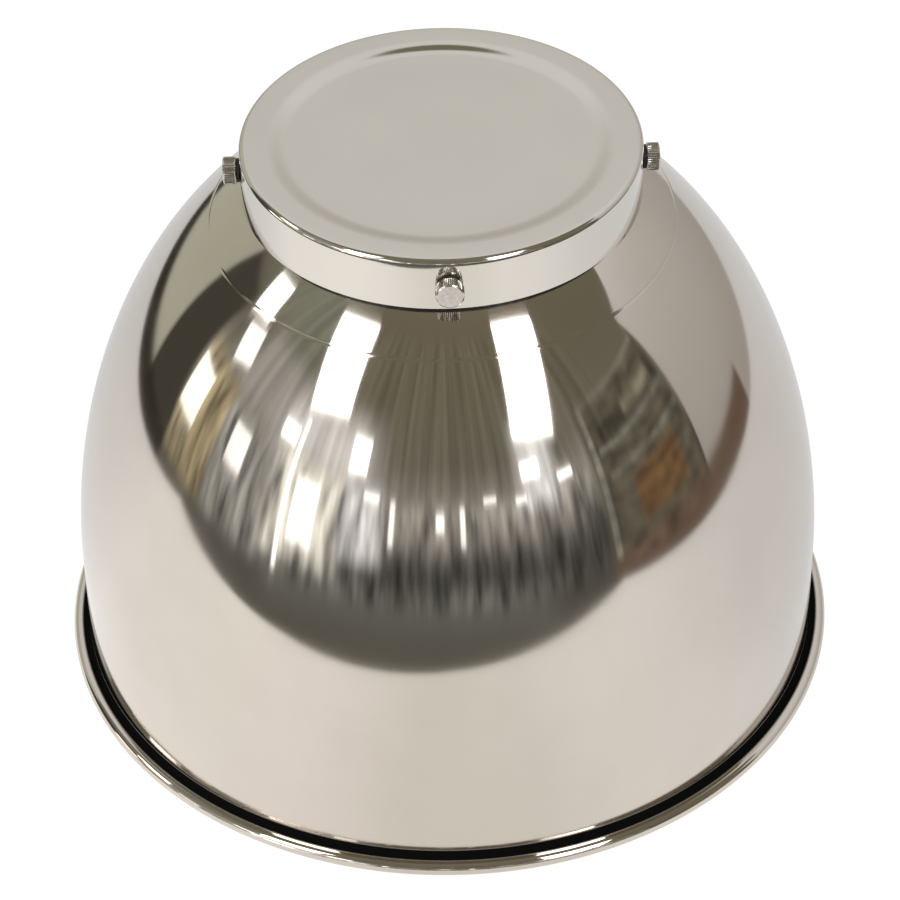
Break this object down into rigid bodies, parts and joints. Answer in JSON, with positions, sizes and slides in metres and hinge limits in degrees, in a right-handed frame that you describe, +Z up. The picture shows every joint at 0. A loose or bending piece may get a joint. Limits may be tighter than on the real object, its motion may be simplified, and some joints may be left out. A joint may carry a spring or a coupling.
{
  "type": "heat lamp fixture",
  "caption": "Spun steel dome heat lamp fixture: rolled rim, wiring cap held by side screws, porcelain holder under it and a red reflector heat bulb inside.",
  "frame": {"origin": "centre of the rolled rim's rest plane, below the middle of the fixture", "axes": "+Z up along the shade's axis, towards the cap; +X and +Y through gallery screws"},
  "size_m": [0.2499, 0.25, 0.19],
  "materials": {
    "shade_steel": "mirror polished stainless steel, faintly streaked by spinning",
    "cap_steel": "satin on the flat top, polished on the skirt",
    "screw_steel": "turned stainless steel with a straight knurl",
    "zinc_plate": "bright zinc plated pressed steel",
    "zinc_steel": "bright zinc plated",
    "brass": "machined brass",
    "nickel_brass": "nickel plated brass",
    "spring_bronze": "rolled spring bronze",
    "tinned_copper": "tinned copper",
    "porcelain": "white glazed porcelain",
    "steatite": "unglazed steatite",
    "black_silicone": "matte black silicone",
    "black_rubber": "matte black rubber",
    "black_nylon": "black nylon",
    "brown_insulation": "heat resistant silicone insulation",
    "blue_insulation": "heat resistant silicone insulation",
    "green_insulation": "green insulation with yellow stripes",
    "silvered_glass": "pressed glass, silvered inside",
    "ruby_glass": "ruby red pressed glass",
    "clear_glass": "clear glass",
    "black_glass": "black vitrite",
    "solder": "solder",
    "nickel_wire": "nickel wire",
    "tungsten": "drawn tungsten"
  },
  "bodies": {
    "shade": {"shade": "shade_steel", "cap_gasket": "black_silicone", "mounting_plate": "zinc_plate", "plate_rivets": "zinc_steel", "lamp_holder": "porcelain", "screw_shell": "nickel_brass", "centre_contact": "spring_bronze", "holder_terminals": "brass", "holder_terminal_screws": "nickel_brass", "holder_screws": "zinc_steel", "holder_nuts": "zinc_steel", "lead_bushes": "steatite", "terminal_block": "porcelain", "block_inserts": "brass", "block_clamp_screws": "nickel_brass", "block_screws": "zinc_steel", "block_nuts": "zinc_steel", "cord_clamp": "zinc_steel", "clamp_screws": "zinc_steel", "clamp_nuts": "zinc_steel", "earth_screw": "zinc_steel", "earth_washer": "zinc_steel", "earth_nut": "zinc_steel", "earth_tag": "tinned_copper", "live_lead": "brown_insulation", "neutral_lead": "blue_insulation", "earth_lead": "green_insulation"},
    "terminal_cap": {"terminal_cap": "cap_steel", "skirt_nuts": "zinc_steel", "cable_grommet": "black_rubber"},
    "bulb_tip": {"bulb_tip": "solder"},
    "bulb": {"bulb_reflector": "silvered_glass", "bulb_lens": "ruby_glass", "bulb_base": "nickel_brass", "bulb_insulator": "black_glass", "bulb_stem": "clear_glass", "filament_leads": "nickel_wire", "filament": "tungsten"},
    "screw_washer_1": {"screw_washer_1": "black_nylon"},
    "gallery_screw_1": {"gallery_screw_1": "screw_steel"},
    "screw_washer_2": {"screw_washer_2": "black_nylon"},
    "gallery_screw_2": {"gallery_screw_2": "screw_steel"},
    "screw_washer_3": {"screw_washer_3": "black_nylon"},
    "gallery_screw_3": {"gallery_screw_3": "screw_steel"},
    "screw_washer_4": {"screw_washer_4": "black_nylon"},
    "gallery_screw_4": {"gallery_screw_4": "screw_steel"}
  },
  "joints": [
    {"name": "cap_lift", "type": "slide", "parent": "shade", "child": "terminal_cap", "axis": [0, 0, 1], "range_m": [0, 0.03]},
    {"name": "screw_1_travel", "type": "slide", "parent": "terminal_cap", "child": "screw_washer_1", "axis": [1, 0, 0], "range_m": [0, 0.003]},
    {"name": "screw_1_turn", "type": "hinge", "parent": "screw_washer_1", "child": "gallery_screw_1", "pos_m": [0.064, 0, 0.181], "axis": [1, 0, 0], "range_deg": [0, 1350]},
    {"name": "screw_2_travel", "type": "slide", "parent": "terminal_cap", "child": "screw_washer_2", "axis": [0, 1, 0], "range_m": [0, 0.003]},
    {"name": "screw_2_turn", "type": "hinge", "parent": "screw_washer_2", "child": "gallery_screw_2", "pos_m": [0, 0.064, 0.181], "axis": [0, 1, 0], "range_deg": [0, 1350]},
    {"name": "screw_3_travel", "type": "slide", "parent": "terminal_cap", "child": "screw_washer_3", "axis": [-1, 0, 0], "range_m": [0, 0.003]},
    {"name": "screw_3_turn", "type": "hinge", "parent": "screw_washer_3", "child": "gallery_screw_3", "pos_m": [-0.064, 0, 0.181], "axis": [-1, 0, 0], "range_deg": [0, 1350]},
    {"name": "screw_4_travel", "type": "slide", "parent": "terminal_cap", "child": "screw_washer_4", "axis": [0, -1, 0], "range_m": [0, 0.003]},
    {"name": "screw_4_turn", "type": "hinge", "parent": "screw_washer_4", "child": "gallery_screw_4", "pos_m": [0, -0.064, 0.181], "axis": [0, -1, 0], "range_deg": [0, 1350]},
    {"name": "bulb_travel", "type": "slide", "parent": "shade", "child": "bulb_tip", "axis": [0, 0, -1], "range_m": [0, 0.01995]},
    {"name": "bulb_turn", "type": "hinge", "parent": "bulb_tip", "child": "bulb", "pos_m": [0, 0, 0.125], "axis": [0, 0, -1], "range_deg": [0, 1980]}
  ],
  "couplings": [
    {"joint": "screw_1_turn", "follows": "screw_1_travel", "rad_per_m": 7854},
    {"joint": "screw_2_turn", "follows": "screw_2_travel", "rad_per_m": 7854},
    {"joint": "screw_3_turn", "follows": "screw_3_travel", "rad_per_m": 7854},
    {"joint": "screw_4_turn", "follows": "screw_4_travel", "rad_per_m": 7854},
    {"joint": "bulb_turn", "follows": "bulb_travel", "rad_per_m": 1731.4}
  ]
}
